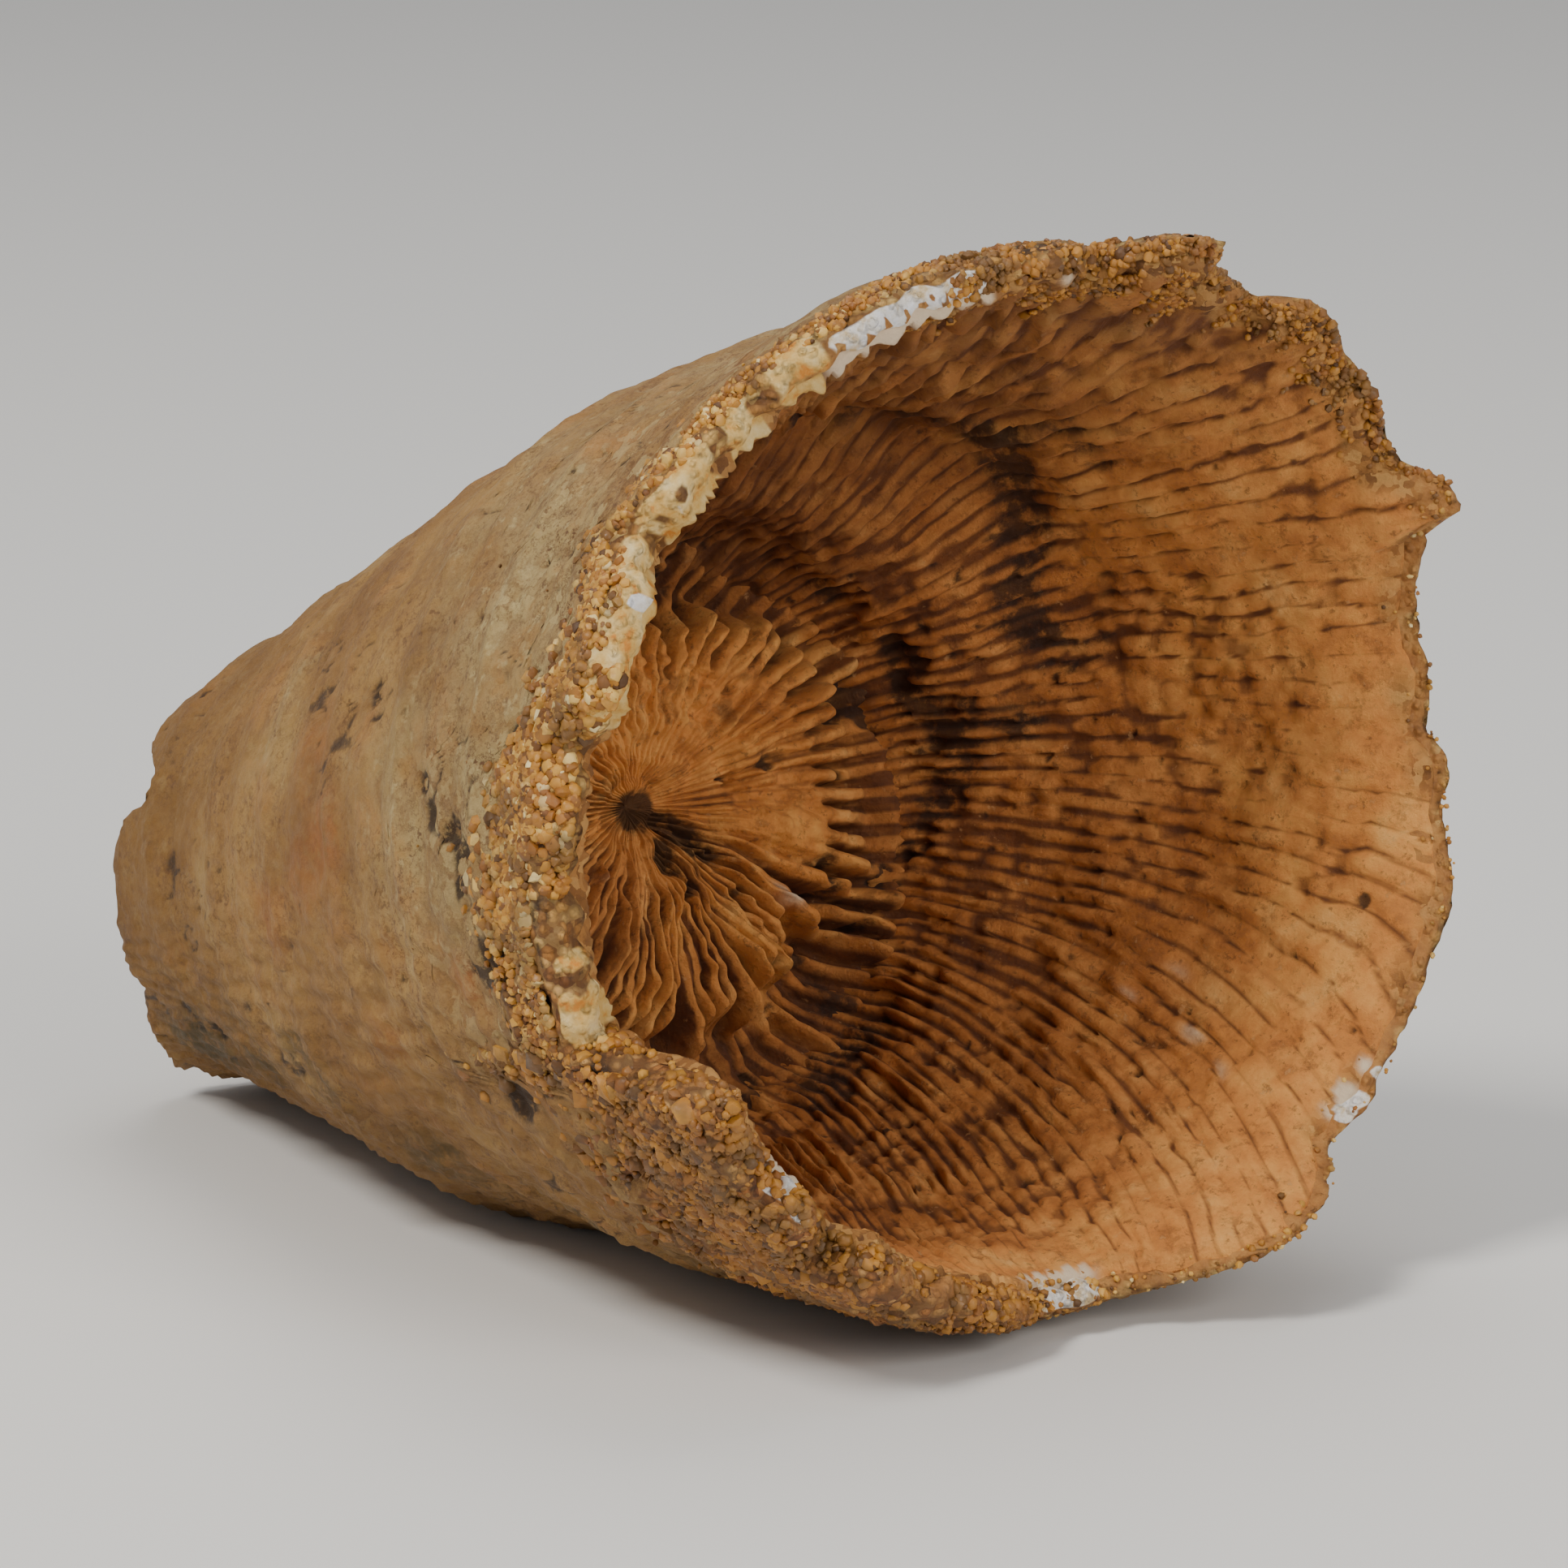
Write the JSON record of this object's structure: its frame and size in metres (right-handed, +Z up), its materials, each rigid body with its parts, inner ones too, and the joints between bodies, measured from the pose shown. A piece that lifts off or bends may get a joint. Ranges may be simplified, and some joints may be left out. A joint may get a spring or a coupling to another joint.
{
  "type": "fossil horn coral",
  "caption": "Solitary horn coral fossil lying on its side: a ringed stone cone with a broken tip and a deep calice lined with radial septa.",
  "frame": {"origin": "middle of the bounding box at the ground that the fossil lies on", "axes": "+X along the fossil from its broken tip to its open mouth, +Z up"},
  "size_m": [0.0538, 0.0378, 0.0395],
  "materials": {
    "fossil_stone": "matte weathered tan stone, warm orange-brown inside the calice"
  },
  "bodies": {
    "root": {"horn_coral": "fossil_stone"}
  },
  "joints": []
}
